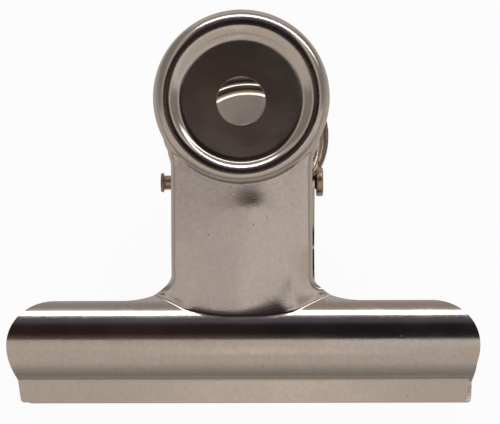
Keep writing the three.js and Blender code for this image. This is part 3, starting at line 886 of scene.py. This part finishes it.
def floor_material(finish):
    """Pale matt paper. It shows as almost even white with a light shadow. The metal mirrors it as
    a glow in the wall's tones, a painted reflection, with painted shade from some way ahead of the
    clip."""
    material = bpy.data.materials.new("floor_paper")
    material.use_nodes = True
    p = Paint(material.node_tree)
    shade = p.layers(finish.floor, (p.noise(0.02, 2.0) * 0.2, scaled(finish.floor, 0.985)))
    paper = p.node("ShaderNodeBsdfPrincipled", {}, {
        "Base Color": shade, "Roughness": 0.9, "Specular IOR Level": 0.0,
    })
    seen, glossy, through = (
        p.node("ShaderNodeLightPath", output=output) for output in (SEEN, GLOSSY, THROUGH)
    )
    # Painted reflection: for glossy rays the floor glows in the near tone, which turns to the
    # darker under tone (painted shade) between 58 and 76 mm ahead
    ahead = 0 - p.part(p.coordinates(), 1)
    painted_reflection = p.layers(finish.under_near, (ahead.ramp(58, 76), finish.under))
    glow = p.node("ShaderNodeEmission", {}, {
        "Color": p.mix(glossy, rgba(WHITE), painted_reflection), "Strength": 1.0,
    })
    shader = p.node("ShaderNodeMixShader", {}, {
        0: (seen + through + glossy) * 0.95, 1: paper, 2: glow,
    })
    p.node("ShaderNodeOutputMaterial", {}, {"Surface": shader})
    return material


# Operators


def settings():
    """The scene's file clip settings."""
    return bpy.context.scene.file_clip


class FILECLIP_OT_plates(bpy.types.Operator):
    """Press the front and the rear plate, each a shank with jaw and ears and a thumb disc"""

    bl_idname = "fileclip.plates"
    bl_label = "Plates"

    def execute(self, context):
        clip = settings()
        finish, disc = clip.finish, clip.disc
        plate = Plate(clip.jaw, clip.shank, disc)
        pressed = metal("nickel_plate", finish.plate, 0.12, PLATED)
        # The inner faces take a darker copy of the plating: painted shade between the plates, on a
        # rougher finish
        inside = metal("nickel_plate_inside_painted_shade", finish.inside, 0.3, PLATED)
        dished = metal("nickel_plate_dish", finish.plate, 0.12, PLATED, (disc.dish, disc.wall))
        # Warmer copy of the plating for the back of the dish: a painted reflection tone
        dish_back_painted_reflection = metal("nickel_plate_dish_back", finish.dish_back_painted_reflection, 0.16, PLATED)
        shank_grids = [
            (plate.shank_grid(), (0, 0, 1)),
            (plate.half_web(1)[1], (1, 0, 0.5)),
            (plate.half_web(-1)[1], (-1, 0, 0.5)),
            (plate.ear_grid(1), (1, 0, 0)),
            (plate.ear_grid(-1), (-1, 0, 0)),
        ]
        disc_grids = [(plate.disc_grid(), (0, 0, 1))]
        for where, rear in (("front", False), ("rear", True)):
            aside = -clip.jaw.rear_aside if rear else clip.jaw.aside
            body_grids = shank_grids + [(plate.jaw_grid(aside), (0, 0, 1))]
            for part, grids, steel, back, middle, edge in (
                ("shank_and_jaw", body_grids, pressed, inside, 0, clip.shank.edge),
                ("thumb_disc", disc_grids, dished, dish_back_painted_reflection, disc.centre_u, disc.edge),
            ):
                patches = [
                    patch(
                        placed(grid, rear, clip.shank.shift),
                        Lie.turned(np.array(facing) * turned_over(rear)),
                        grid[..., :2] - np.array([0, middle]),
                    )
                    for grid, facing in grids
                ]
                piece = mesh_object(f"{where}_{part}", patches)
                thicken(piece, clip.shank.sheet, edge)
                finish_piece(
                    piece, steel, f"{where}_plate", [f"{where}_jaw_plate"]
                )
                piece.data.materials.append(back)
        return {"FINISHED"}


class FILECLIP_OT_pin(bpy.types.Operator):
    """Turn the pin with its head and its flared, hollow end"""

    bl_idname = "fileclip.pin"
    bl_label = "Pin"

    def execute(self, context):
        clip = settings()
        s = clip.pin
        around = np.linspace(0, 2 * math.pi, 73)
        x, r = (np.repeat(column[:, None], around.size, 1) for column in pin_profile(s).T)
        dents = np.sin(3 * around + 0.6) + 0.6 * np.sin(7 * around + 2.0)
        r = r * (1 + 0.012 * ease((x - s.head_inner) / s.head_edge) * dents)
        grid = np.stack([x, r * np.cos(around), r * np.sin(around)], -1)
        piece = closed_object("pivot_pin_steel", grid)
        steel = metal("pin_steel", clip.finish.pin, 0.24, TURNED)
        finish_piece(piece, steel, "pin", ["pivot_pin"])
        return {"FINISHED"}


def arc(x, r, radius, first, last):
    """Points of an arc about (x, r), between two angles given in quarter turns."""
    angle = np.linspace(first, last, 7) * math.pi / 2
    return list(zip(x + radius * np.cos(angle), r + radius * np.sin(angle)))


def pin_profile(s):
    """Outline of the pin as points (x, r): the hollow in its flared end, the funnel round it,
    the flare's end and its raised edge, the shaft and the head."""
    outer, head_outer = s.flare_inner - s.flare_thick, s.head_inner + s.head_thick
    bottom = outer + s.tube_depth
    small, edge = 0.1 * MM, s.head_edge
    shaft = np.linspace(s.flare_inner + 6 * small, s.head_inner, 12)
    return np.array([
        (bottom, 0), (bottom, s.tube),
        (s.flare_inner + 3 * small, s.tube), (s.flare_inner, s.tube + small),
        (outer + small, s.flare - 3.2 * small), (outer, s.flare - 2 * small),
        *arc(outer + small, s.flare - small, small, 3, 2),
        *arc(s.flare_inner - small, s.flare - small, small, 2, 1),
        (s.flare_inner, s.radius + small), (s.flare_inner + small, s.radius),
        *((x, s.radius) for x in shaft), (s.head_inner, s.radius + 3 * small),
        *arc(s.head_inner + edge, s.head - edge, edge, 2, 1),
        *arc(head_outer - edge, s.head - edge, edge, 1, 0),
        (head_outer, s.head / 2), (head_outer, 0),
    ])


class FILECLIP_OT_spring(bpy.types.Operator):
    """Wind the torsion spring, one wire from the rear disc round the pin to the front disc"""

    bl_idname = "fileclip.spring"
    bl_label = "Spring"

    def execute(self, context):
        clip = settings()
        s = clip.spring
        path = spring_path(s, clip.disc, clip.shank.sheet)
        piece = closed_object("spring_wire", tube(path, s.wire / 2, 18))
        piece.data.materials.append(metal("spring_steel", clip.finish.spring, 0.3, DRAWN))
        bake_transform(piece)
        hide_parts("torsion_spring")
        return {"FINISHED"}


def spring_path(s, disc, sheet):
    """Centre line of the spring as points (x, u, n): a straight tip along the back of the
    rear dish, a bend, a straight leg to the coil, the coil as a helix, and the same again to
    the front dish. The helix's pitch fades at both ends, so that the legs leave it evenly."""
    depth = disc.depth + sheet + s.leg_gap + s.wire / 2
    along = np.array([math.cos(disc.lean), math.sin(disc.lean)])
    out = np.array([-along[1], along[0]])
    corner = np.array([disc.centre_u, disc.centre_n]) - along * s.bend_below - out * depth
    rise = math.atan2(corner[1], corner[0]) - math.asin(s.coil / math.hypot(*corner))
    start = s.coil * np.array([-math.sin(rise), math.cos(rise)])
    trim = s.leg_bend * math.tan((rise - disc.lean) / 2)
    centre = corner + along * trim - out * s.leg_bend
    angle = math.pi / 2 + np.linspace(rise, disc.lean, 10)
    bend = centre + s.leg_bend * np.stack([np.cos(angle), np.sin(angle)], -1)
    t = np.linspace(0, 1, 7)[:, None]
    tip = corner + along * s.tip
    leg = np.concatenate([
        start + (bend[0] - start) * t[1:-1], bend, bend[-1] + (tip - bend[-1]) * t[1:],
    ])
    first = math.atan2(start[1], start[0])
    sweep = 2 * math.pi * s.turns - 2 * first
    half = sweep / (2 * math.pi) * (s.wire + s.turn_gap) / 2
    k = np.linspace(0, 1, int(sweep / math.radians(10)))
    eased = k + 0.5 * (ease(k) - k) * np.abs(2 * k - 1) ** 6
    about = -first - sweep * k
    helix = np.stack([half * (2 * eased - 1), s.coil * np.cos(about), s.coil * np.sin(about)], -1)
    rear = np.stack([np.full(len(leg), -half), leg[:, 0], -leg[:, 1]], -1)[::-1]
    front = np.stack([np.full(len(leg), half), leg[:, 0], leg[:, 1]], -1)
    return np.concatenate([rear, helix, front])


def tube(path, radius, sides):
    """Grid of a round tube along a path, with closed, slightly rounded ends. Each ring lies
    across the path's tangent, with one side square to the x axis. The rings at the ends are
    smaller by cap and lie back by back, both as shares of the radius."""
    tangent = np.gradient(path, axis=0)
    tangent /= np.linalg.norm(tangent, axis=1, keepdims=True)
    side = np.cross(tangent, [1.0, 0, 0])
    side /= np.linalg.norm(side, axis=1, keepdims=True)
    other = np.cross(tangent, side)
    cap = np.array([1e-6, 0.75, 0.93, 1.0]) * radius
    back = np.array([0.0, 0.0, 0.07, 0.25]) * radius
    line = np.concatenate([
        path[0] + tangent[0] * back[:, None], path[1:-1],
        path[-1] - tangent[-1] * back[::-1, None],
    ])
    size = np.concatenate([cap, np.full(len(path) - 2, radius), cap[::-1]])
    ring = np.concatenate([[0] * cap.size, np.arange(1, len(path) - 1), [-1] * cap.size])
    around = np.linspace(0, 2 * math.pi, sides + 1)[None, :, None]
    across = side[ring][:, None] * np.cos(around) + other[ring][:, None] * np.sin(around)
    return line[:, None] + size[:, None, None] * across


class FILECLIP_OT_stage(bpy.types.Operator):
    """Set up the floor, the studio's light and the camera"""

    bl_idname = "fileclip.stage"
    bl_label = "Stage"

    def execute(self, context):
        clip = settings()
        mesh = bpy.data.meshes.new("floor")
        reach, level = 3.0, -0.05 * MM
        corners = [(-reach, -reach, level), (reach, -reach, level),
                   (reach, reach, level), (-reach, reach, level)]
        mesh.from_pydata(corners, [], [(0, 1, 2, 3)])
        floor = bpy.data.objects.new("floor", mesh)
        context.scene.collection.objects.link(floor)
        mesh.materials.append(floor_material(clip.finish))
        studio_light(context.scene, clip.finish)
        photo_camera(context.scene)
        context.scene.view_settings.view_transform = "Standard"
        return {"FINISHED"}


def studio_light(scene, finish):
    """A world that is a plain studio: a light wall all round, a dark ceiling overhead and a
    long softbox behind it. The camera sees white. The tones change with the tilt, in degrees
    from straight ahead (-y) up and over, and with x, from -1 on the left to 1 on the right."""
    world = bpy.data.worlds.new("studio")
    scene.world = world
    world.use_nodes = True
    p = Paint(world.node_tree)
    towards = p.node("ShaderNodeTexCoord")
    x, y, z = (p.part(towards, axis) for axis in range(3))
    tilt = p.node("ShaderNodeMath", {"operation": "ARCTAN2"}, {0: z, 1: 0 - y}) * math.degrees(1)
    side = abs(x)

    before_end = 1 - tilt.ramp(129.3, 131)
    overhead = tilt.ramp(69.6, 71.6) * (1 - side.ramp(0.32, 0.44)) * before_end
    box_length = x.ramp(-0.43, -0.33) * (1 - x.ramp(0.62, 0.85))
    box = tilt.ramp(120.8, 122.3) * before_end * box_length
    haze = (1 - tilt.ramp(77, 82)) * (1 - x.ramp(-0.01, 0.045))
    edge = (1 - tilt.ramp(73, 78)) * (1 - x.ramp(-0.075, -0.03))
    lamp = tilt.ramp(36, 46) * (1 - tilt.ramp(50, 60)) * (1 - side.ramp(0.02, 0.1))
    uneven = (1 - x.ramp(-0.06, 0.06)) * tilt.ramp(54, 62)

    dark = p.layers(
        finish.ceiling,
        (1 - x.ramp(-0.07, 0.0), finish.warm),
        (haze, finish.haze),
        (edge, finish.glow),
        (tilt.ramp(100, 108), finish.slate),
    )
    wall = p.layers(
        finish.low_wall,
        (tilt.ramp(0, 28), finish.wall),
        (tilt.ramp(50, 62), finish.upper_wall),
        (lamp, scaled(finish.wall, 1.3)),
        (uneven * 0.17, BLACK),
        (tilt.ramp(126, 132), finish.far_wall),
        (tilt.ramp(146, 160), finish.back_wall),
        (side.ramp(0.44, 0.62) * tilt.ramp(65, 80), finish.side_wall),
        (side.ramp(0.86, 0.95), finish.corner_wall),
    )
    lit = p.mix(box, p.mix(overhead, wall, dark), rgba(scaled(WHITE, finish.softbox)))
    seen = p.node("ShaderNodeLightPath", output=SEEN)
    background = p.node("ShaderNodeBackground", {}, {
        "Color": p.mix(seen, lit, rgba(WHITE)), "Strength": 1.0,
    })
    p.node("ShaderNodeOutputWorld", {}, {"Surface": background})


def photo_camera(scene):
    """The photograph's view: almost square on to the front plate, from a little below it."""
    yaw, pitch = math.radians(1.02), math.radians(13.90)
    aside, up_by, distance = 0.94 * MM, -5.0 * MM, 242.9 * MM
    focal_pixels, frame_pixels, sensor = 1445.0, 500.0, 36.0
    towards = np.array([math.sin(yaw), -math.sin(pitch) * math.cos(yaw),
                        math.cos(pitch) * math.cos(yaw)])
    right = np.cross([0, 1, 0], towards)
    right /= np.linalg.norm(right)
    up = np.cross(towards, right)
    place = Lie.lay_down(right * aside + up * up_by + towards * distance)
    axes = Lie.turned(np.stack([right, up, towards]))
    data = bpy.data.cameras.new("camera")
    data.sensor_width = sensor
    data.lens = focal_pixels / frame_pixels * sensor
    data.clip_start = 0.01
    camera = bpy.data.objects.new("camera", data)
    scene.collection.objects.link(camera)
    matrix = np.eye(4)
    matrix[:3, :3] = axes.T
    matrix[:3, 3] = place
    camera.matrix_world = Matrix(matrix)
    scene.camera = camera


class ClipSettings(bpy.types.PropertyGroup):
    """Everything about the file clip that can be set"""

    jaw: PointerProperty(type=ClipJawSizes)
    shank: PointerProperty(type=ClipShankSizes)
    disc: PointerProperty(type=ClipDiscSizes)
    pin: PointerProperty(type=ClipPinSizes)
    spring: PointerProperty(type=ClipSpringSizes)
    finish: PointerProperty(type=ClipFinish)


class FILECLIP_PT_panel(bpy.types.Panel):
    """Sizes, colours and the steps that build the clip"""

    bl_idname = "FILECLIP_PT_panel"
    bl_label = "File Clip"
    bl_space_type = "VIEW_3D"
    bl_region_type = "UI"
    bl_category = "File Clip"

    def draw(self, context):
        clip = context.scene.file_clip
        for group in (clip.jaw, clip.shank, clip.disc, clip.pin, clip.spring, clip.finish):
            box = self.layout.box()
            for name in group.__annotations__:
                box.prop(group, name)
        for step in STEPS:
            self.layout.operator(step.bl_idname)


STEPS = (FILECLIP_OT_plates, FILECLIP_OT_pin, FILECLIP_OT_spring, FILECLIP_OT_stage)
CLASSES = (
    ClipJawSizes, ClipShankSizes, ClipDiscSizes, ClipPinSizes, ClipSpringSizes, ClipFinish,
    ClipSettings, *STEPS, FILECLIP_PT_panel,
)


def register():
    for each in CLASSES:
        bpy.utils.register_class(each)
    bpy.types.Scene.file_clip = PointerProperty(type=ClipSettings)


def unregister():
    del bpy.types.Scene.file_clip
    for each in reversed(CLASSES):
        bpy.utils.unregister_class(each)


def main():
    register()
    bpy.ops.fileclip.plates()
    bpy.ops.fileclip.pin()
    bpy.ops.fileclip.spring()
    bpy.ops.fileclip.stage()


if __name__ == "__main__":
    main()
